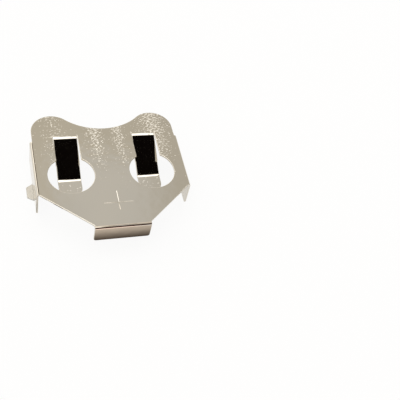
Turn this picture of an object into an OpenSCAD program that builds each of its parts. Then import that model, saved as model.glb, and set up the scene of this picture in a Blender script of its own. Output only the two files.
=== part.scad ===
// Surface-mount retainer for a coin cell: one sheet of spring metal, stamped and folded.
// The board is the plane z = 0. The cell slides in from behind (+Y) under the plate,
// between the two side flanges, until it meets the stop at the front (-Y).

/* [Cell] */
// Diameter of the cell that the retainer holds
cell_d = 20; // [19.6:0.1:20.8]
// Gap between the cell and each side flange
side_gap = 0.25; // [0.1:0.05:0.5]
// Gap between the cell and the front stop
stop_gap = 0.05; // [0:0.05:0.4]

/* [Sheet] */
// Thickness of the sheet
sheet_t = 0.25; // [0.15:0.05:0.3]
// Inside radius of the square folds
fold_r = 0.1; // [0.05:0.05:0.35]

/* [Plate] */
// Height of the plate's top face above the board
plate_h = 4.8; // [4.6:0.1:5.4]
// Radius of the two rounded lobes at the rear
lobe_r = 2.95; // [2.5:0.05:3.1]
// Distance from the cell's centre back to the end of the lobes
lobe_reach = 9.7; // [9.4:0.1:10.4]
// Distance from the cell's centre back to the bottom of the recess between the lobes
recess_reach = 6.95; // [6.7:0.05:7.6]
// Straight edge at each end of the stop's fold, before the front edge slants away
shoulder = 0.15; // [0.05:0.05:0.6]

/* [Side flanges] */
// Depth of a flange, from the plate's top face to its free edge
flange_depth = 4.05; // [3.6:0.05:4.2]
// Distance from the cell's centre forward to the flange's front edge
flange_front = 4.3; // [3.5:0.1:5]
// Distance from the cell's centre back to the flange's rear edge
flange_rear = 5; // [4.2:0.1:5.6]
// Radius of the flange's free corners
flange_corner = 0.2; // [0.1:0.05:0.5]

/* [Front stop] */
// Width of the stop
stop_w = 7.55; // [6:0.05:9]
// Depth of the stop, from the plate's top face to its lower edge
stop_depth = 2.8; // [2.2:0.1:3.6]
// Radius of the stop's lower corners
stop_corner = 0.35; // [0.1:0.05:0.6]

/* [Round openings] */
// Radius of each round opening
opening_r = 3.15; // [2.9:0.05:3.4]
// Distance from the middle of the plate to the centre line of each opening and its finger
opening_x = 5.58; // [5:0.02:5.9]
// Distance from the cell's centre forward to the openings' centres
opening_front = 1.2; // [0.6:0.1:1.6]

/* [Contact fingers] */
// Width of a finger where it crosses the round opening
finger_w = 3.2; // [2.4:0.02:3.3]
// How much further each side of the lanced part stands out
lanced_step = 0.05; // [0.02:0.01:0.15]
// Gap between the lanced part and each side of its slot
lance_gap = 0.05; // [0.03:0.01:0.12]
// How far the lanced cuts run back past the finger's first bend
lance_over = 0.05; // [0.05:0.05:0.4]
// Distance from the cell's centre back to the first bend
finger_root = 5.8; // [5.4:0.05:6]
// Distance from the first bend forward to the start of the contact pad
pad_start = 6.3; // [5.6:0.1:6.6]
// Drop of the top face from the plate to the start of the pad
pad_drop = 2.45; // [1.6:0.05:2.7]
// Length of the pad with its round end
pad_len = 2.65; // [2.2:0.05:3.2]
// Angle at which the pad still slopes down
pad_slope = 3; // [0:0.5:8]
// Inside radius of the finger's two bends
finger_bend_r = 1.1; // [0.5:0.1:1.6]

/* [Solder feet] */
// Length of a foot where it leaves its flange
foot_len = 2.8; // [2.2:0.1:3.6]
// How far a foot reaches out from the flange's outer face
foot_reach = 0.85; // [0.7:0.05:1.4]
// How much shorter each slanted end makes the foot's outer edge
foot_slant = 0.55; // [0.2:0.05:0.8]
// Distance from the cell's centre forward to the middle of the feet
foot_front = 0.2; // [-0.5:0.1:1]
// Radius of the inner corners where a foot's neck leaves the flange's free edge
neck_r = 0.2; // [0.1:0.02:0.24]

/* [Hidden] */
$fn = 96;

// Faces that the cell sets
flange_outer = cell_d / 2 + side_gap + sheet_t;
stop_outer = cell_d / 2 + stop_gap + sheet_t;
// Top-face radius of a square fold, and the lines where the flat plate meets its folds
fold_outer_r = fold_r + sheet_t;
side_line = flange_outer - fold_outer_r;
stop_line = stop_outer - fold_outer_r;

// Lobe centres, and the recess arc that touches both lobes without a corner
lobe_x = side_line - lobe_r;
lobe_y = lobe_reach - lobe_r;
recess_rise = recess_reach - lobe_y;
recess_r = (lobe_x ^ 2 + recess_rise ^ 2 - lobe_r ^ 2) / (2 * (lobe_r - recess_rise));
touch = lobe_r / (lobe_r + recess_r);
touch_x = lobe_x * (1 - touch);
touch_y = lobe_y + (recess_rise + recess_r) * touch;

// Lanced part of a finger, and the slot that it was sheared from
lanced_w = finger_w + 2 * lanced_step;
slot_w = lanced_w + 2 * lance_gap;
// Slope and straight run that join two equal bends over the pad's start and drop
bends_r = 2 * finger_bend_r + sheet_t;
span_y = pad_start + finger_bend_r * sin(pad_slope);
span_z = finger_bend_r * (1 + cos(pad_slope)) + sheet_t - pad_drop;
finger_run = sqrt(span_y ^ 2 + span_z ^ 2 - bends_r ^ 2);
finger_slope = atan2(span_y, span_z) - atan2(finger_run, bends_r);
// The lanced part ended at the opening's rim while the sheet was flat, and bends with the finger
rim_reach = finger_root + opening_front - sqrt(opening_r ^ 2 - (slot_w / 2) ^ 2);
first_bend = (finger_bend_r + sheet_t / 2) * finger_slope * PI / 180;
lanced_reach = (finger_bend_r + sheet_t) * sin(finger_slope) + (rim_reach - first_bend) * cos(finger_slope);
tip_reach = pad_start + pad_len * cos(pad_slope);
// Flat run behind the first bend, which ends inside the plate
root_run = lance_over + sheet_t;

// Height of the flange's free edge above the board, and the straight part of a foot's neck
free_edge_h = plate_h - flange_depth;
neck_run = plate_h - 2 * fold_outer_r;
// Middle of the footprint, on which the frame's origin lies
centre_y = (lobe_reach - stop_outer) / 2;
// Reach of clipping shapes beyond the sheet
over = 1;

// The sheet's section is drawn as a chain: each piece draws itself with its top face on the
// x axis, then places the next one at its end.
module run(len) {
    translate([0, -sheet_t]) square([len, sheet_t]);
    translate([len, 0]) children();
}

module fold_down(angle, inner_r) {
    outer_r = inner_r + sheet_t;
    translate([0, -outer_r]) {
        ring_sector(angle, inner_r);
        rotate(-angle) translate([0, outer_r]) children();
    }
}

module fold_up(angle, inner_r) {
    translate([0, inner_r]) {
        mirror([0, 1]) ring_sector(angle, inner_r);
        rotate(angle) translate([0, -inner_r]) children();
    }
}

// Sector of a ring one sheet thick, turning clockwise from straight up
module ring_sector(angle, inner_r) {
    outer_r = inner_r + sheet_t;
    intersection() {
        difference() {
            circle(outer_r);
            circle(inner_r);
        }
        translate([0, -outer_r]) square(2 * outer_r);
        rotate(-angle) translate([-2 * outer_r, -outer_r]) square(2 * outer_r);
    }
}

// What lies between a square corner at the origin and its arc: cut away it rounds a corner,
// added it fills one
module corner(r) {
    difference() {
        square(r);
        translate([r, r]) circle(r);
    }
}

// Rectangle that stands on y = 0 with its two lower corners rounded
module round_bottomed(w, h, r) {
    difference() {
        square([w, h]);
        corner(r);
        translate([w, 0]) mirror([1, 0]) corner(r);
    }
}

module both_sides() {
    children();
    mirror([1, 0, 0]) children();
}

// Turn a section drawn in (outward, up) so that it runs from y0 back to y1
module along_y(y0, y1) {
    translate([0, y1, 0]) rotate([90, 0, 0]) linear_extrude(y1 - y0) children();
}

// Turn a section drawn in (forward, up) so that it runs across the width w
module across_x(w) {
    rotate([90, 0, -90]) linear_extrude(w, center = true) children();
}

module plate_outline() {
    difference() {
        union() {
            polygon([[-stop_w / 2, -stop_line], [stop_w / 2, -stop_line],
                     [stop_w / 2, shoulder - stop_line], [side_line, -flange_front],
                     [side_line, lobe_y], [touch_x, touch_y], [-touch_x, touch_y],
                     [-side_line, lobe_y], [-side_line, -flange_front],
                     [-stop_w / 2, shoulder - stop_line]]);
            both_sides() translate([lobe_x, lobe_y]) circle(lobe_r);
        }
        translate([0, recess_reach + recess_r]) circle(recess_r);
        both_sides() translate([opening_x, -opening_front]) {
            circle(opening_r);
            translate([-slot_w / 2, 0]) square([slot_w, opening_front + finger_root + lance_over]);
        }
    }
}

module plate() {
    translate([0, 0, plate_h - sheet_t]) linear_extrude(sheet_t) plate_outline();
}

// Side view of a flange with its foot's neck
module flange_side_view() {
    translate([-flange_front, free_edge_h])
        round_bottomed(flange_front + flange_rear, flange_depth, flange_corner);
    translate([-foot_front, 0]) {
        translate([-foot_len / 2, 0]) square([foot_len, free_edge_h]);
        both_sides() translate([foot_len / 2, free_edge_h]) mirror([0, 1]) corner(neck_r);
    }
}

// Plan of a flange with its foot, whose two ends slant in towards the outer edge
module flange_plan() {
    translate([side_line, -flange_front]) square([fold_outer_r, flange_front + flange_rear]);
    translate([flange_outer, -foot_front])
        polygon([[0, -foot_len / 2], [foot_reach, foot_slant - foot_len / 2],
                 [foot_reach, foot_len / 2 - foot_slant], [0, foot_len / 2]]);
}

// One side: the folded section, clipped to its side view and its plan
module flange() {
    intersection() {
        along_y(-flange_front, flange_rear) translate([side_line, plate_h])
            fold_down(90, fold_r) run(neck_run) fold_up(90, fold_r) run(foot_reach);
        translate([side_line - over, 0, 0]) rotate([90, 0, 90])
            linear_extrude(fold_outer_r + foot_reach + 2 * over) flange_side_view();
        translate([0, 0, -over]) linear_extrude(plate_h + 2 * over) flange_plan();
    }
}

module front_stop() {
    intersection() {
        translate([0, 0, plate_h]) across_x(stop_w) translate([stop_line, 0])
            fold_down(90, fold_r) run(stop_depth - fold_outer_r);
        translate([-stop_w / 2, 0, plate_h - stop_depth]) rotate([90, 0, 0])
            linear_extrude(stop_outer + over) round_bottomed(stop_w, stop_depth, stop_corner);
    }
}

// Plan of a finger that points to -Y, with its first bend on y = 0
module finger_plan() {
    translate([-lanced_w / 2, -lanced_reach]) square([lanced_w, lanced_reach + root_run]);
    translate([0, finger_w / 2 - tip_reach]) {
        circle(d = finger_w);
        translate([-finger_w / 2, 0]) square([finger_w, tip_reach - finger_w / 2]);
    }
}

// Lanced finger: down from its root, then level again for the contact pad
module finger() {
    translate([opening_x, finger_root, plate_h]) intersection() {
        across_x(slot_w) translate([-root_run, 0])
            run(root_run) fold_down(finger_slope, finger_bend_r) run(finger_run)
                fold_up(finger_slope - pad_slope, finger_bend_r) run(pad_len);
        translate([0, 0, -plate_h]) linear_extrude(plate_h + over) finger_plan();
    }
}

module retainer() {
    color("#b9b1a0") translate([0, -centre_y, 0]) {
        plate();
        front_stop();
        both_sides() {
            flange();
            finger();
        }
    }
}

retainer();
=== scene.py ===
# %% [markdown]
# # A holder for a coin cell, stamped and folded from one sheet
#
# The real holder is one piece of thin spring sheet with a nickel finish. A press cuts a flat blank
# with two round openings and a tongue in each. It then folds the blank: two side flanges that end
# in solder feet, a stop at the front, and the two tongues, which become the spring fingers.
#
# The finished shape could be drawn face by face, or carved from solids. Here the blank is drawn
# flat and folded line by line, as the press does it, because every bend then keeps its radius
# and the sheet keeps one even thickness.

import math

import bmesh
import bpy
from mathutils import Matrix, Vector


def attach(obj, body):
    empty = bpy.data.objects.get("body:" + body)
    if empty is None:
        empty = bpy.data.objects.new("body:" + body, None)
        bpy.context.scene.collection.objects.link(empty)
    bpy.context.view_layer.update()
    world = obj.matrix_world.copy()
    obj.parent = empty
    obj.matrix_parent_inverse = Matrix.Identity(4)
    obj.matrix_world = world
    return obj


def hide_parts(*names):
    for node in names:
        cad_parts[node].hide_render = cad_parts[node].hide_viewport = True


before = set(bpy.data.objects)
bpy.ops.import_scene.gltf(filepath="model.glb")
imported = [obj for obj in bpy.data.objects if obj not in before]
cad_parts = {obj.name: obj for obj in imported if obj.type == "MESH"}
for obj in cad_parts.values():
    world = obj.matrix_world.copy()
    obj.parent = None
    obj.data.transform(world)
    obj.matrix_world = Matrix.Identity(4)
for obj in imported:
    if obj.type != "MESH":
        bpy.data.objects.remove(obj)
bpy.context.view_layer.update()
print("solids:", sorted(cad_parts))

# %% [markdown]
# ## Sizes
#
# All lengths are in millimetres and are the ones that the solid was made from. They are measured
# from the middle of the coin cell: X to the right, Y to the open rear side, Z up from the circuit
# board. Millimetres keep the numbers easy to read, and one scaling at the end turns them to
# metres. Each size gets its name in the cell that first needs it, and the first ones are the
# thickness of the sheet and the inner and outer radius of its tight folds.

# %% Sizes of the sheet
MM = 0.001
SHEET = 0.25
FOLD_IN = 0.1
FOLD_OUT = FOLD_IN + SHEET
TOP = 4.8
print("the sheet is", SHEET, "mm thick, and its top lies", TOP, "mm above the board")

# %% [markdown]
# ## Folds
#
# A fold turns the sheet through an angle round a centre. The blank is drawn as the outer skin of
# the sheet, so each fold takes as much skin as its arc is long. The arc is made of short straight
# strips with their corners on the true arc, so its length is a sum of chords.
#
# A fold is kept as a small record: the part that it turns, where its line lies, which way it runs
# outwards, its angle in degrees (downwards is positive), the radius of the skin, and its number
# of strips. Plain numbers would do, but a record keeps what belongs together.

# %% Say what a fold is
class Fold:
    def __init__(self, part, line, outwards, angle, radius, strips):
        self.part = part
        self.line = line
        self.outwards = outwards
        self.turn = math.radians(angle)
        self.strips = strips
        self.strip = 2 * radius * math.sin(abs(self.turn) / (2 * strips))
        self.skin = strips * self.strip

    def centre(self, number):
        """a point on one of the fold's lines, counted outwards from 0"""
        return self.outwards * (self.line + number * self.strip)

    def beyond(self, point):
        """how far a point of the flat blank lies outwards of the fold's first line"""
        return point.xy.dot(self.outwards.xy) - self.line


# %% [markdown]
# ## Folds at the side and the front
#
# The flange is folded down along the side of the plate, and its solder foot is folded back out,
# level with the board. The stop is folded down at the front in the same way. The fold lines and
# the depths are known, and the free edges of the blank follow from them, because every fold adds
# the length of its own skin.

# %% Describe the folds of the flange, the foot and the stop
RIGHT = Vector((1, 0, 0))
FORWARD = Vector((0, -1, 0))
HALF_WIDTH = 10.5
SIDE_LINE = HALF_WIDTH - FOLD_OUT
FLANGE_DEPTH = 4.05
FRONT = 10.3
STOP_LINE = FRONT - FOLD_OUT
STOP_DEPTH = 2.8

flange_fold = Fold("flange", SIDE_LINE, RIGHT, 90, FOLD_OUT, 10)
FREE_EDGE = SIDE_LINE + flange_fold.skin + FLANGE_DEPTH - FOLD_OUT
FOOT_LINE = SIDE_LINE + flange_fold.skin + TOP - 2 * FOLD_OUT
foot_fold = Fold("flange", FOOT_LINE, RIGHT, -90, FOLD_IN, 8)
stop_fold = Fold("stop", STOP_LINE, FORWARD, 90, FOLD_OUT, 10)
STOP_END = STOP_LINE + stop_fold.skin + STOP_DEPTH - FOLD_OUT
print("the flange's free edge lies", round(FREE_EDGE, 3), "mm out in the blank")

# %% [markdown]
# ## Bends of a finger
#
# A finger slopes down from its root at the rear. Near its tip a second bend turns it almost level
# again, into a pad that presses on the cell. The skin lies on the outer side of the first bend
# and on the inner side of the second, so its radius differs by the thickness of the sheet.

# %% Describe the two bends of a finger
FINGER_ROOT = 5.8
BEND_R = 1.1
SLOPE = 22.680
SLOPE_RUN = 5.8665
PAD_SLOPE = 3.0
PAD_RUN = 2.65

root_fold = Fold("finger", -FINGER_ROOT, FORWARD, SLOPE, BEND_R + SHEET, 8)
PAD_LINE = root_fold.line + root_fold.skin + SLOPE_RUN
pad_fold = Fold("finger", PAD_LINE, FORWARD, PAD_SLOPE - SLOPE, BEND_R, 8)
TIP = PAD_LINE + pad_fold.skin + PAD_RUN
print("the finger's tip lies", round(TIP, 3), "mm forward in the blank")

# %% [markdown]
# ## A pen for the outline
#
# The outline is made of straight edges and arcs. A list of points could hold it, but every arc
# would then be worked out by hand. This pen lets the modelling operators do it: it extrudes the
# last vertex for a straight edge and spins it round a centre for an arc.

# %% Make the pen
class Pen:
    def __init__(self, bm, x, y):
        self.bm = bm
        self.last = bmesh.ops.create_vert(bm, co=(x, y, 0))["vert"][0]

    def line(self, x, y):
        """a straight edge to the point x, y"""
        made = bmesh.ops.extrude_vert_indiv(self.bm, verts=[self.last])
        self.last = made["verts"][0]
        self.last.co = (x, y, 0)

    def arc(self, x, y, degrees, steps):
        """an arc round the point x, y, anticlockwise where degrees is positive"""
        made = bmesh.ops.spin(
            self.bm, geom=[self.last], cent=(x, y, 0), axis=(0, 0, 1),
            angle=math.radians(degrees), steps=steps,
        )
        self.last = made["geom_last"][0]


# %% [markdown]
# ## The outer edge of the blank
#
# Both halves of the holder are alike, so only the right half is drawn. The pen starts in the
# middle of the stop's lower edge and goes round its corner to the front of the flange.

# %% Draw the stop and the front of the flange
STOP_WIDTH = 7.55
STOP_HALF = STOP_WIDTH / 2
STOP_CORNER = 0.35
SHOULDER = 0.15
FLANGE_FRONT = -4.3
FLANGE_CORNER = 0.2

bm = bmesh.new()
pen = Pen(bm, 0, -STOP_END)
pen.line(STOP_HALF - STOP_CORNER, -STOP_END)
pen.arc(STOP_HALF - STOP_CORNER, STOP_CORNER - STOP_END, degrees=90, steps=10)
pen.line(STOP_HALF, SHOULDER - STOP_LINE)
pen.line(SIDE_LINE, FLANGE_FRONT)
pen.line(FREE_EDGE - FLANGE_CORNER, FLANGE_FRONT)
pen.arc(FREE_EDGE - FLANGE_CORNER, FLANGE_FRONT + FLANGE_CORNER, degrees=90, steps=8)
print("stop and front of the flange:", len(bm.edges), "edges")

# %% [markdown]
# ## The solder foot
#
# The foot is a tab on the flange's free edge. It narrows towards its end, which lets solder wet
# both slanting sides, and a small arc joins it to the edge, so that the sheet doesn't tear there
# when the foot is folded outwards.

# %% Draw the foot and the rest of the flange
FOOT_MIDDLE = -0.2
FOOT_HALF = 1.4
FOOT_REACH = 0.85
FOOT_SLANT = 0.55
NECK_R = 0.2
FLANGE_REAR = 5.0

foot_start = FOOT_MIDDLE - FOOT_HALF
foot_end = FOOT_MIDDLE + FOOT_HALF
slant_in_fold = FOOT_SLANT * FOLD_IN / FOOT_REACH
foot_out = FOOT_LINE + foot_fold.skin
foot_tip = foot_out + FOOT_REACH - FOLD_IN
pen.line(FREE_EDGE, foot_start - NECK_R)
pen.arc(FREE_EDGE + NECK_R, foot_start - NECK_R, degrees=-90, steps=6)
pen.line(FOOT_LINE, foot_start)
pen.line(foot_out, foot_start + slant_in_fold)
pen.line(foot_tip, foot_start + FOOT_SLANT)
pen.line(foot_tip, foot_end - FOOT_SLANT)
pen.line(foot_out, foot_end - slant_in_fold)
pen.line(FOOT_LINE, foot_end)
pen.line(FREE_EDGE + NECK_R, foot_end)
pen.arc(FREE_EDGE + NECK_R, foot_end + NECK_R, degrees=-90, steps=6)
pen.line(FREE_EDGE, FLANGE_REAR - FLANGE_CORNER)
pen.arc(FREE_EDGE - FLANGE_CORNER, FLANGE_REAR - FLANGE_CORNER, degrees=90, steps=8)
pen.line(SIDE_LINE, FLANGE_REAR)
print("the foot's tip lies", round(foot_tip, 3), "mm out in the blank")

# %% [markdown]
# ## The rear edge
#
# At the rear the plate ends in two round lobes with a shallow recess between them, where a
# fingertip reaches the cell. The lobe and the recess meet without a corner. The radius of the
# recess could be tried until it fits. It is worked out instead, from the one circle that touches
# the lobe and passes through the deepest point of the recess. The last vertex is set on the
# middle line to the last digit, so that both halves meet there.

# %% Draw the lobe and the recess
REAR = 9.7
LOBE_R = 2.95
LOBE_X = SIDE_LINE - LOBE_R
LOBE_Y = REAR - LOBE_R
RECESS_Y = 6.95

recess_rise = RECESS_Y - LOBE_Y
recess_r = (LOBE_X**2 + recess_rise**2 - LOBE_R**2) / (2 * (LOBE_R - recess_rise))
recess_centre = RECESS_Y + recess_r
lobe_turn = 180 - math.degrees(math.atan2(recess_centre - LOBE_Y, LOBE_X))
pen.line(SIDE_LINE, LOBE_Y)
pen.arc(LOBE_X, LOBE_Y, degrees=lobe_turn, steps=44)
pen.arc(0, recess_centre, degrees=90 - lobe_turn, steps=24)
pen.last.co.x = 0
print("outer edge:", len(bm.edges), "edges, recess radius", round(recess_r, 3), "mm")
print("rear middle at", tuple(round(c, 3) for c in pen.last.co))

# %% [markdown]
# ## The plus sign
#
# A plus sign is pressed into the plate near the stop and marks the side of the cell that the
# plate touches. Its outline is drawn into the blank now, as a dent in the middle line of the
# half, so that its faces are ready to be pushed down once the sheet is thick.

# %% Draw half of the plus sign and close the middle line
PLUS_Y = -6.38
PLUS_HALF = 0.07
PLUS_SIDE = 2.0
PLUS_REAR = -4.42
PLUS_FRONT = -7.6

pen.line(0, PLUS_REAR)
plus_first = pen.last
pen.line(PLUS_HALF, PLUS_REAR)
pen.line(PLUS_HALF, PLUS_Y + PLUS_HALF)
pen.line(PLUS_SIDE, PLUS_Y + PLUS_HALF)
pen.line(PLUS_SIDE, PLUS_Y - PLUS_HALF)
pen.line(PLUS_HALF, PLUS_Y - PLUS_HALF)
pen.line(PLUS_HALF, PLUS_FRONT)
pen.line(0, PLUS_FRONT)
plus_last = pen.last
pen.line(0, -STOP_END)
print("the plus sign is", 2 * PLUS_SIDE, "mm wide")

# %% [markdown]
# ## The opening and its tongue
#
# One cut makes the round opening, the straight slot behind it and the tongue that reaches from
# the slot into the opening. In the slot the tongue is a little wider than in front of it, because
# shears cut it free there, and its tip is a half circle. Once the tongue is bent, its wide part
# ends where the slot opens, so its length in the blank allows for the bend.

# %% Draw the opening
OPENING = Vector((5.58, -1.2))
OPENING_R = 3.15
CLEARANCE = 0.05
TONGUE_HALF = 1.6
LANCED_HALF = TONGUE_HALF + CLEARANCE
SLOT_HALF = LANCED_HALF + CLEARANCE
SLOT_END = FINGER_ROOT + CLEARANCE

mouth = math.degrees(math.asin(SLOT_HALF / OPENING_R))
mouth_y = OPENING.y + math.sqrt(OPENING_R**2 - SLOT_HALF**2)
root_bend = (BEND_R + SHEET / 2) * root_fold.turn
lanced_y = -(root_fold.line + root_fold.skin + FINGER_ROOT - mouth_y - root_bend)
tip_y = TONGUE_HALF - TIP

cut = Pen(bm, OPENING.x + SLOT_HALF, mouth_y)
cut.arc(OPENING.x, OPENING.y, degrees=2 * mouth - 360, steps=90)
cut.line(OPENING.x - SLOT_HALF, SLOT_END)
cut.line(OPENING.x - LANCED_HALF, SLOT_END)
cut.line(OPENING.x - LANCED_HALF, lanced_y)
cut.line(OPENING.x - TONGUE_HALF, lanced_y)
cut.line(OPENING.x - TONGUE_HALF, tip_y)
cut.arc(OPENING.x, tip_y, degrees=180, steps=40)
cut.line(OPENING.x + TONGUE_HALF, lanced_y)
cut.line(OPENING.x + LANCED_HALF, lanced_y)
cut.line(OPENING.x + LANCED_HALF, SLOT_END)
cut.line(OPENING.x + SLOT_HALF, SLOT_END)
cut.line(OPENING.x + SLOT_HALF, mouth_y)
print("lanced part ends", round(lanced_y, 3), "and the slot's mouth lies at", round(mouth_y, 3))

# %% [markdown]
# ## Fill the blank
#
# Merging the vertices that lie on each other closes both outlines, so one fill lays the sheet
# between the outer edge and the opening. The plus sign gets its own faces and a mark in a face
# layer, to be found again later. Its edges are the ones near it that have a face on one side
# only, or none.

# %% Fill
MERGE = 1e-4
NEAR = 0.01


def on_plus(vert):
    return vert.co.x < PLUS_SIDE + NEAR and PLUS_FRONT - NEAR < vert.co.y < PLUS_REAR + NEAR


bmesh.ops.remove_doubles(bm, verts=bm.verts, dist=MERGE)
bmesh.ops.triangle_fill(bm, use_beauty=True, edges=bm.edges)
mark = bm.faces.layers.int.new("plus")
bm.edges.new((plus_first, plus_last))
open_edges = [e for e in bm.edges if len(e.link_faces) < 2]
plus_edges = [e for e in open_edges if all(on_plus(v) for v in e.verts)]
plus_fill = bmesh.ops.triangle_fill(bm, use_beauty=True, edges=plus_edges)
for face in plus_fill["geom"]:
    if isinstance(face, bmesh.types.BMFace):
        face[mark] = 1
bmesh.ops.recalc_face_normals(bm, faces=bm.faces)
if sum(face.normal.z for face in bm.faces) < 0:
    bmesh.ops.reverse_faces(bm, faces=bm.faces)
print("blank:", len(bm.faces), "faces,", round(sum(f.calc_area() for f in bm.faces), 2), "mm2")

# %% [markdown]
# ## Cut the strips of the folds
#
# A fold needs lines across the sheet to turn round. They could be drawn with the outline, but
# the fill would then have to keep them. Cutting the filled blank with bisect_plane is simpler.
# Each cut goes only through the part that the fold belongs to and leaves the plate whole.

# %% Cut the strips
CLOSE = 1e-4
ON_PLANE = 1e-5


def part_of(point):
    """the part of the holder that a point of the flat blank belongs to"""
    if point.x > SIDE_LINE + CLOSE:
        return "flange"
    if point.y < -STOP_LINE - CLOSE:
        return "stop"
    in_slot = abs(point.x - OPENING.x) < LANCED_HALF + CLOSE
    if in_slot and -TIP - CLOSE < point.y < FINGER_ROOT - CLOSE:
        return "finger"
    return "plate"


outermost_first = [foot_fold, flange_fold, stop_fold, pad_fold, root_fold]
for fold in outermost_first:
    for number in range(fold.strips + 1):
        faces = [f for f in bm.faces if any(part_of(v.co) == fold.part for v in f.verts)]
        edges = {e for f in faces for e in f.edges}
        verts = {v for f in faces for v in f.verts}
        bmesh.ops.bisect_plane(
            bm, geom=faces + list(edges) + list(verts), dist=ON_PLANE,
            plane_co=fold.centre(number), plane_no=fold.outwards,
        )
print("blank with fold lines:", len(bm.faces), "faces")

# %% [markdown]
# ## Fold the blank
#
# The outermost fold turns first, because the sheet inside it is still flat and its lines still
# lie where they were drawn. Every line turns all that lies outwards of it by one step. The first
# and last line of a fold turn half a step, which puts every corner on the true arc. The finished
# skin is then lifted to its height. The holder's own middle lies a little in front of the
# cell's, and it stands centred on the frame, so it also moves back by that much.

# %% Turn the strips
HOLDER_MIDDLE_Y = -0.3
UP = Vector((0, 0, 1))

flat = {v: v.co.copy() for v in bm.verts}
home = {v: part_of(v.co) for v in bm.verts}
for fold in outermost_first:
    for number in reversed(range(fold.strips + 1)):
        share = 0.5 if number in (0, fold.strips) else 1
        turned = [v for v in bm.verts if home[v] == fold.part
                  and fold.beyond(flat[v]) > number * fold.strip + CLOSE]
        bmesh.ops.rotate(
            bm, verts=turned, cent=fold.centre(number),
            matrix=Matrix.Rotation(fold.turn / fold.strips * share, 3, UP.cross(fold.outwards)),
        )
bmesh.ops.translate(bm, verts=bm.verts, vec=(0, -HOLDER_MIDDLE_Y, TOP))
print("lowest point of the skin:", round(min(v.co.z for v in bm.verts), 3), "mm")

# %% [markdown]
# ## The other half
#
# The mirror adds the left half and joins it along the middle line. Flat areas are then dissolved
# to single large faces, so that nothing but the folds shows in a reflection. The plus sign keeps
# its own face through this, because its groove is still to be pressed.

# %% Mirror and clean
FLAT = math.radians(0.5)

bmesh.ops.mirror(bm, geom=bm.verts[:] + bm.edges[:] + bm.faces[:], axis="X", merge_dist=MERGE)
bmesh.ops.remove_doubles(bm, verts=bm.verts, dist=MERGE)
bmesh.ops.recalc_face_normals(bm, faces=bm.faces)
top_face = max(bm.faces, key=lambda f: f.calc_center_median().z + f.calc_area())
if top_face.normal.z < 0:
    bmesh.ops.reverse_faces(bm, faces=bm.faces)
plus = bmesh.ops.dissolve_faces(bm, faces=[f for f in bm.faces if f[mark]])["region"]
kept = {e for f in plus for e in f.edges} | {v for f in plus for v in f.verts}
bmesh.ops.dissolve_limit(
    bm, angle_limit=FLAT, use_dissolve_boundaries=False,
    verts=[v for v in bm.verts if v not in kept], edges=[e for e in bm.edges if e not in kept],
)
print("plus sign:", [len(f.verts) for f in plus], "corners")

# %% [markdown]
# ## Thickness
#
# The skin could be copied, moved inwards and sewn to the first one along the rim. Solidify does
# all of that in one step. It adds the thickness on the inner side and keeps it even round every
# fold. The rim of the outer skin is noted before, while it is still the open edge.

# %% Thicken
rim = [e for e in bm.edges if e.is_boundary]
bm.normal_update()
bmesh.ops.solidify(bm, geom=bm.faces[:], thickness=SHEET)
print("thick sheet:", len(bm.faces), "faces, volume", round(bm.calc_volume(), 2), "mm3")

# %% [markdown]
# ## The groove and the edges
#
# The plus sign is a shallow groove with sloping sides, made by an inset that also moves down.
# A stamped edge is never sharp: the punch pulls the upper edge round and leaves the lower one
# crisp. A bevel rounds only the rim of the outer skin, and its three strips catch a thin light.

# %% Press the groove and round the rims
GROOVE_WALL = 0.04
GROOVE_DEPTH = 0.011
PULLED_EDGE = 0.065
RIM_STRIPS = 3

plus_faces = [f for f in bm.faces if f[mark] and f.normal.z > 0.5]
bmesh.ops.inset_region(
    bm, faces=plus_faces, thickness=GROOVE_WALL, depth=-GROOVE_DEPTH,
    use_even_offset=True, use_boundary=True,
)
bmesh.ops.bevel(
    bm, geom=rim, affect="EDGES", offset=PULLED_EDGE, segments=RIM_STRIPS, profile=0.5,
    material=-1,
)
print("sheet with rounded rims:", len(bm.faces), "faces")

# %% [markdown]
# ## The finished sheet
#
# The mesh goes to an object at the origin, is scaled to metres once, and takes the place of the
# plain solid. Weighted normals keep the large flat faces flat in reflections and let the narrow
# strips of the folds and rims shade as round. The modifier's weight is at its highest, because
# the faces differ so much in size.

# %% Hand the mesh to an object
for face in bm.faces:
    face.smooth = True
bmesh.ops.scale(bm, vec=(MM, MM, MM), verts=bm.verts)
mesh = bpy.data.meshes.new("retainer_sheet")
bm.to_mesh(mesh)
bm.free()
sheet = bpy.data.objects.new("retainer_sheet", mesh)
bpy.context.scene.collection.objects.link(sheet)
shading = sheet.modifiers.new("flat faces stay flat", "WEIGHTED_NORMAL")
shading.mode = "FACE_AREA"
shading.weight = 100
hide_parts("retainer")
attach(sheet, "root")
print(len(mesh.polygons), "faces in", sheet.name)

# %% [markdown]
# ## Shader maths as Python
#
# A finish is easier to read as an expression than as a list of nodes and links. This class wraps
# one output of a node. Sums, differences and products of wrapped values add the Math nodes.
# Every other node comes from one method, which sets what the node is before it fills its sockets.

# %% Wrap sockets
class Value:
    def __init__(self, tree, socket):
        self.tree = tree
        self.socket = socket

    def math(self, operation, other, swapped=False):
        pair = (other, self) if swapped else (self, other)
        made = Paint(self.tree).node(
            "ShaderNodeMath", {"operation": operation}, {0: pair[0], 1: pair[1]}
        )
        return made[0]

    def __add__(self, other):
        return self.math("ADD", other)

    def __radd__(self, other):
        return self.math("ADD", other, True)

    def __sub__(self, other):
        return self.math("SUBTRACT", other)

    def __rsub__(self, other):
        return self.math("SUBTRACT", other, True)

    def __mul__(self, other):
        return self.math("MULTIPLY", other)

    def __rmul__(self, other):
        return self.math("MULTIPLY", other, True)

    def step(self, low, high):
        """0 below low and 1 above high, with a soft rise between them"""
        made = Paint(self.tree).node(
            "ShaderNodeMapRange", {"interpolation_type": "SMOOTHSTEP"},
            {"Value": self, "From Min": low, "From Max": high},
        )
        return made["Result"]


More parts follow.
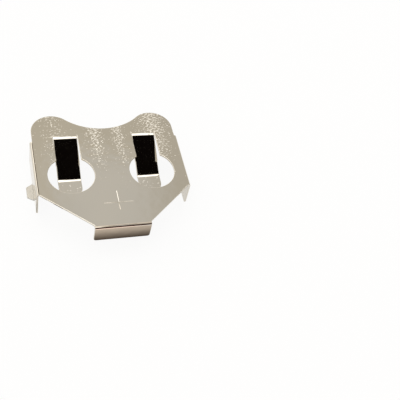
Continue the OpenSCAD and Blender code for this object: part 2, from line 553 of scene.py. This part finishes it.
class Paint:
    def __init__(self, tree):
        self.tree = tree

    def node(self, kind, settings, inputs):
        """a node of a kind, with its settings and the values or links of its sockets"""
        made = self.tree.nodes.new(kind)
        for name, value in settings.items():
            setattr(made, name, value)
        for name, value in inputs.items():
            if isinstance(value, Value):
                self.tree.links.new(value.socket, made.inputs[name])
            else:
                made.inputs[name].default_value = value
        return Outputs(self.tree, made)

    def mix(self, amount, first, second):
        """blend of two colours"""
        return self.node(
            "ShaderNodeMix", {"data_type": "RGBA"}, {0: amount, 6: first, 7: second}
        )[2]


class Outputs:
    def __init__(self, tree, made):
        self.tree = tree
        self.made = made

    def __getitem__(self, name):
        return Value(self.tree, self.made.outputs[name])


# %% [markdown]
# ## Nickel
#
# Bright nickel over rolled steel mirrors its surroundings with a slight blur. The plating bath
# leaves a warm grey tint that changes slowly over the sheet, and fine ripples like orange peel.
# Handling leaves worn spots that blur a little more. A flat colour would show none of this, so
# noise on the object's own coordinates gives each of them at its real size.

# %% Lay out the noise
def bare_material(name):
    """a new material without nodes, and the paint to fill it"""
    made = bpy.data.materials.new(name)
    made.use_nodes = True
    made.node_tree.nodes.clear()
    return made, Paint(made.node_tree)


nickel, paint = bare_material("nickel")
place = paint.node("ShaderNodeTexCoord", {}, {})["Object"]


def noise(scale, detail, stretch=(1, 1, 1)):
    """noise with about scale blobs to the millimetre, or fewer along an axis with a low stretch"""
    stretched = paint.node(
        "ShaderNodeMapping", {}, {"Vector": place, "Scale": [scale * s / MM for s in stretch]}
    )["Vector"]
    return paint.node(
        "ShaderNodeTexNoise", {},
        {"Vector": stretched, "Scale": 1.0, "Detail": detail, "Roughness": 0.5},
    )["Fac"]


worn = noise(1.3, 3.0).step(0.45, 0.75)
ripples = noise(0.8, 1.0)
cast = noise(0.12, 1.0).step(0.3, 0.7)
print("noise:", len(nickel.node_tree.nodes), "nodes")

# %% [markdown]
# ## Where cells have slid
#
# Each cell that slides in rubs the plate and the pads of the fingers. On the plate this happens
# along tracks that run from front to rear: two in the middle and one over each opening, most of
# all towards the rear, where the cell enters. These masks say how much a place is handled.

# %% Mark the tracks and the pads
at = paint.node("ShaderNodeSeparateXYZ", {}, {"Vector": place})
x = at["X"] * (1 / MM)
y = at["Y"] * (1 / MM)
z = at["Z"] * (1 / MM)


def track(middle, half):
    """1 along a line that runs from front to rear and 0 beyond half its width"""
    return x.step(middle - half, middle) - x.step(middle, middle + half)


tracks = track(-1.4, 1.9) + track(1.9, 1.5) + track(7.2, 3.4) + track(-7.2, 2.6) * 0.5
top_skin = z.step(4.7, 4.78)
rearwards = y.step(-6, 6)
on_plate = top_skin * rearwards * (tracks * 0.7 + 0.3)
low_down = 1 - z.step(2.3, 2.6)
behind_stop = y.step(-5, -4)
on_pads = low_down * behind_stop * 0.3
handled = on_plate + on_pads
print("with masks:", len(nickel.node_tree.nodes), "nodes")

# %% [markdown]
# ## Flecks
#
# The rubbing scratches the bright layer in small frosted flecks. Their paler colour in the
# finish below is partly a painted glint. Multiplying an even scatter by the mask would only make
# the flecks fainter away from the tracks. Adding the mask to the noise before the cut makes them
# larger and closer together on the tracks, as real wear does.

# %% Scatter the flecks
scatter = noise(5.0, 1.0, stretch=(0.6, 1.2, 1)) + handled * 0.24
flecks = scatter.step(0.76, 0.82) * handled.step(0.02, 0.1)
print("with flecks:", len(nickel.node_tree.nodes), "nodes")

# %% [markdown]
# ## Feet
#
# The press squeezes the feet flat on their die, which leaves them duller than the rest. They are
# the lowest parts that lie outwards of the flanges. The square of X finds both sides at once.

# %% Mark the feet
outwards = (x * x).step(10.3**2, 10.45**2)
on_board = 1 - z.step(0.3, 0.6)
pressed = outwards * on_board
print("with feet:", len(nickel.node_tree.nodes), "nodes")

# %% [markdown]
# ## The finish
#
# Frosted metal looks paler and far less sharp than polished metal, so the flecks and the feet
# change both the colour and the roughness. The flecks' paler colour is partly real frost and
# partly a painted glint, the sparkle of light on their tilted facets. The flecks and the ripples
# also feed one bump. Their heights are a hundredth of a millimetre or less, and relief of that
# size is too fine for the mesh.

# %% Put the nickel together
YELLOWER = (0.735, 0.692, 0.615, 1)
GREYER = (0.705, 0.668, 0.600, 1)
# the flecks' paler colour: worn frost, partly a painted glint
FROST_AND_GLINT = (0.79, 0.76, 0.70, 1)
MATT = (0.70, 0.68, 0.64, 1)
FLECK_HEIGHT = 0.0015
RIPPLE_HEIGHT = 0.01
POLISH_BLUR = 0.035
WORN_BLUR = 0.02
FROST_BLUR = 0.4
MATT_BLUR = 0.6

tint = paint.mix(cast, YELLOWER, GREYER)
# the flecks' paler tint is partly a painted glint on the worn frost
tint = paint.mix(flecks, tint, FROST_AND_GLINT)
tint = paint.mix(pressed, tint, MATT)
blur = POLISH_BLUR + worn * WORN_BLUR + flecks * FROST_BLUR + pressed * MATT_BLUR
relief = paint.node(
    "ShaderNodeBump", {},
    {"Strength": 1.0, "Distance": MM, "Height": flecks * FLECK_HEIGHT + ripples * RIPPLE_HEIGHT},
)["Normal"]
metal = paint.node(
    "ShaderNodeBsdfPrincipled", {},
    {"Base Color": tint, "Metallic": 1.0, "Roughness": blur, "Normal": relief},
)["BSDF"]
paint.node("ShaderNodeOutputMaterial", {}, {"Surface": metal})
sheet.data.materials.append(nickel)
print("nickel:", len(nickel.node_tree.nodes), "nodes")

# %% [markdown]
# ## The studio
#
# Polished metal shows what stands round it, so the studio is part of the finish. The floor is
# plain paper. It has to look white to the camera, pale to the metal, and still take the holder's
# shadow. A brighter light would also bleach the metal, so the kind of ray decides how much of
# the paper glows by itself.

# %% Lay the floor
def stage_plane(name, middle, size, turn=None):
    """a rectangle of the studio, in millimetres, facing up unless it is turned"""
    plane = bmesh.new()
    bmesh.ops.create_grid(plane, x_segments=1, y_segments=1, size=0.5)
    bmesh.ops.scale(plane, vec=(size[0], size[1], 1), verts=plane.verts)
    if turn is not None:
        bmesh.ops.rotate(plane, verts=plane.verts, matrix=turn)
    bmesh.ops.translate(plane, vec=middle, verts=plane.verts)
    bmesh.ops.scale(plane, vec=(MM, MM, MM), verts=plane.verts)
    data = bpy.data.meshes.new(name)
    plane.to_mesh(data)
    plane.free()
    made = bpy.data.objects.new(name, data)
    bpy.context.scene.collection.objects.link(made)
    return made


WHITE = (1.0, 1.0, 1.0, 1)
PAPER_WHITE = (0.9, 0.9, 0.9, 1)
GLOW_TO_CAMERA = 0.9
GLOW_TO_METAL = 0.6

floor = stage_plane("floor", (0, 0, 0), (3000, 3000))
paper, coat = bare_material("paper")
rays = coat.node("ShaderNodeLightPath", {}, {})
glowing = rays["Is Camera Ray"] * GLOW_TO_CAMERA + rays["Is Glossy Ray"] * GLOW_TO_METAL
dull = coat.node("ShaderNodeBsdfDiffuse", {}, {"Color": PAPER_WHITE})["BSDF"]
white = coat.node("ShaderNodeEmission", {}, {"Color": WHITE})["Emission"]
surface = coat.node("ShaderNodeMixShader", {}, {0: glowing, 1: dull, 2: white})["Shader"]
coat.node("ShaderNodeOutputMaterial", {}, {"Surface": surface})
floor.data.materials.append(paper)
print("floor:", tuple(round(side, 3) for side in floor.dimensions))

# %% [markdown]
# ## Cards
#
# Dark and pale cards near polished metal draw its folds. One black card hangs high in front on
# the right, and the sloping fingers mirror it. The others stay close to the place that mirrors
# them: they stand about half a millimetre from a fold, or lie on the floor in front of a face.
# The ones on the floor are a painted shadow of the holder, as the metal sees the floor.
# Large cards further away would show all over the plate, and these show little from other sides.
# Only the metal sees the cards, and they cast no shadow.

# %% Make a card
def card(name, middle, size, colour, turn=None):
    """a card in one colour, or in what colour(cloth) makes of it"""
    made = stage_plane(name, middle, size, turn)
    felt, cloth = bare_material(name)
    dye = colour(cloth) if callable(colour) else colour
    glow = cloth.node("ShaderNodeEmission", {}, {"Color": dye})["Emission"]
    cloth.node("ShaderNodeOutputMaterial", {}, {"Surface": glow})
    made.data.materials.append(felt)
    made.visible_camera = False
    made.visible_diffuse = False
    made.visible_shadow = False
    print(name, [round(side / MM, 2) for side in made.dimensions], "mm")


DOWNWARDS = Matrix.Rotation(math.pi, 3, "X")
BACKWARDS = Matrix.Rotation(-math.pi / 2, 3, "X")
BLACK = (0.003, 0.002, 0.0016, 1)
card("black_card", (95, -55, 500), (160, 100), BLACK, DOWNWARDS)

# %% [markdown]
# ## Cards at the stop
#
# The stop's fold is a quarter of a cylinder, and in it the whole room shrinks to a few lines.
# A brown card in front of it draws the dark line, and a rose one above it the soft light line
# over that. The stop's face mirrors the floor. A card laid there is a painted shadow of the
# holder on the floor, with the lit floor beyond it, and it shades the stop's face from brown at
# the bottom to cream at the top.

# %% Set the cards at the stop
BROWN = (0.05, 0.010, 0.005, 1)
ROSE = (0.98, 0.86, 0.76, 1)
# the next three colours paint the holder's shadow on the floor in front of the stop, and the lit
# floor beyond it
DEEP_SHADOW_BROWN = (0.045, 0.030, 0.02, 1)
HALF_SHADOW_CREAM = (0.80, 0.70, 0.61, 1)
LIT_FLOOR_GLOW = (1.5, 1.2, 1.08, 1)


def rearward(cloth):
    """how far a place lies to the rear, in millimetres"""
    spot = cloth.node("ShaderNodeTexCoord", {}, {})["Object"]
    return cloth.node("ShaderNodeSeparateXYZ", {}, {"Vector": spot})["Y"] * (1 / MM)


# a painted floor shadow: dark brown close to the stop, then cream, then the glowing lit floor
def floor_shadow_to_light(cloth):
    y_card = rearward(cloth)
    light = cloth.mix(y_card.step(-20.0, -14.5), LIT_FLOOR_GLOW, HALF_SHADOW_CREAM)
    return cloth.mix(y_card.step(-13.7, -10.9), light, DEEP_SHADOW_BROWN)


card("brown_card_ahead", (0, -10.6, 5.085), (9.4, 1.15), BROWN, BACKWARDS)
card("rose_card_near", (0, -9.55, 5.3), (8.6, 0.34), ROSE, DOWNWARDS)
# painted shadow of the holder on the floor, seen only in the stop's face
card("floor_shadow_card_below", (0.5, -25.6, 0.1), (11, 28.8), floor_shadow_to_light)

# %% [markdown]
# ## Cards at the left flange
#
# Seen from the front left, the left flange is one pale field with its fold above it. A thin card
# over the fold draws a dark line there. A grey one on the floor is a painted shadow of the
# holder, darkest close to the flange, and it sets the flange's front edge off from the floor.

# %% Set the cards at the left flange
DIM = (0.12, 0.10, 0.08, 1)
# the next two colours paint the holder's shadow on the floor beside the left flange
PALE_SHADOW_GREY = (0.60, 0.54, 0.51, 1)
DEEP_SHADOW_GREY = (0.30, 0.28, 0.25, 1)


# a painted floor shadow, darkest close to the flange
def shadow_towards_flange(cloth):
    return cloth.mix(rearward(cloth).step(-7.5, -4.5), PALE_SHADOW_GREY, DEEP_SHADOW_GREY)


# painted shadow of the holder on the floor, seen only in the left flange
card("floor_shadow_card_left", (-10.5, -6.8, 0.1), (4, 4.6), shadow_towards_flange)
card("shade_card_left", (-10.29, 0.8, 5.3), (0.36, 9.4), DIM, DOWNWARDS)

# %% [markdown]
# ## The soft box
#
# One large soft light hangs above and behind the holder. It lights the floor, and its mirror
# image makes the white lines across the bends of the fingers. A small lamp would make hard
# shadows and narrow sparks instead.

# %% Hang the soft box
def soft_lamp(name, middle, size, radiance):
    """a level rectangle of light, as bright as a white surface times its radiance"""
    lamp = bpy.data.lights.new(name, "AREA")
    lamp.shape = "RECTANGLE"
    lamp.size = size[0] * MM
    lamp.size_y = size[1] * MM
    lamp.energy = radiance * math.pi * lamp.size * lamp.size_y
    hung = bpy.data.objects.new(name, lamp)
    bpy.context.scene.collection.objects.link(hung)
    hung.location = Vector(middle) * MM
    hung.visible_camera = False
    print(name, round(lamp.energy, 3), "W")


soft_lamp("soft_box", (50, 145, 500), (600, 250), 1.35)

# %% [markdown]
# ## The surroundings
#
# The rest of the room is a colour for each direction: X to the right, Y to the rear, and Z the
# sine of the height above the horizon. It is made of a few plain fields with soft borders, as
# walls and a ceiling are. The plate mirrors the high fields: bright on the left, warm and then
# cool over the middle, and shade on the right. The folds and the rims mirror the low ones. There
# a narrow bright strip at the rear draws the light line on the front rims of the openings. The
# camera itself sees plain white.

# %% Colour the surroundings
BRIGHT_SIDE = (1.3, 1.25, 1.15, 1)
WARM = (0.61, 0.57, 0.49, 1)
COOL = (0.665, 0.647, 0.611, 1)
SHADE = (0.565, 0.531, 0.466, 1)
PALE = (0.9, 0.87, 0.82, 1)
GLARE = (2.0, 1.9, 1.75, 1)

world = bpy.data.worlds.new("surroundings")
bpy.context.scene.world = world
world.use_nodes = True
world.node_tree.nodes.clear()
sky = Paint(world.node_tree)
way = sky.node("ShaderNodeTexCoord", {}, {})["Generated"]
split = sky.node("ShaderNodeSeparateXYZ", {}, {"Vector": way})
x_way = split["X"]
y_way = split["Y"]
z_way = split["Z"]
low_rear = z_way.step(0.50, 0.55) * y_way.step(0.55, 0.65)
low = sky.mix(low_rear, PALE, GLARE)
low = sky.mix(x_way.step(0.30, 0.36), low, SHADE)
high = sky.mix(z_way.step(0.73, 0.77), WARM, COOL)
high = sky.mix(x_way.step(0.06, 0.13), WARM, high)
high = sky.mix(x_way.step(0.20, 0.29), high, SHADE)
high = sky.mix(x_way.step(-0.08, 0.02), BRIGHT_SIDE, high)
room = sky.mix(z_way.step(0.66, 0.68), low, high)
seen = sky.node("ShaderNodeLightPath", {}, {})["Is Camera Ray"]
shown = sky.mix(seen, room, WHITE)
light = sky.node("ShaderNodeBackground", {}, {"Color": shown, "Strength": 1.0})["Background"]
sky.node("ShaderNodeOutputWorld", {}, {"Surface": light})
print("surroundings:", len(world.node_tree.nodes), "nodes")

# %% [markdown]
# ## The camera
#
# The camera stands in front and to the left, looks down at about fifty degrees and is rolled
# by eighteen. A track constraint could aim it, but not roll it, so its three axes are worked out
# from those angles.

# %% Place the camera
AROUND = math.radians(28.197)
DOWN = math.radians(50.562)
ROLL = math.radians(18.088)
EYE = Vector((-17.47, -60.12, 78.40))
FOCAL_LENGTH = 62.6

ahead = Vector((math.sin(AROUND), math.cos(AROUND), 0))
forward = ahead * math.cos(DOWN) - UP * math.sin(DOWN)
level = Vector((math.cos(AROUND), -math.sin(AROUND), 0))
upright = level.cross(forward)
right = level * math.cos(ROLL) + upright * math.sin(ROLL)
over = upright * math.cos(ROLL) - level * math.sin(ROLL)

lens = bpy.data.cameras.new("camera")
lens.lens = FOCAL_LENGTH
lens.clip_start = 0.005
lens.clip_end = 10
eye = bpy.data.objects.new("camera", lens)
bpy.context.scene.collection.objects.link(eye)
facing = Matrix((right, over, -forward)).transposed().to_4x4()
eye.matrix_world = Matrix.Translation(EYE * MM) @ facing
bpy.context.scene.camera = eye
bpy.context.scene.view_settings.view_transform = "Standard"
print("camera", round(EYE.length, 1), "mm from the middle of the holder")
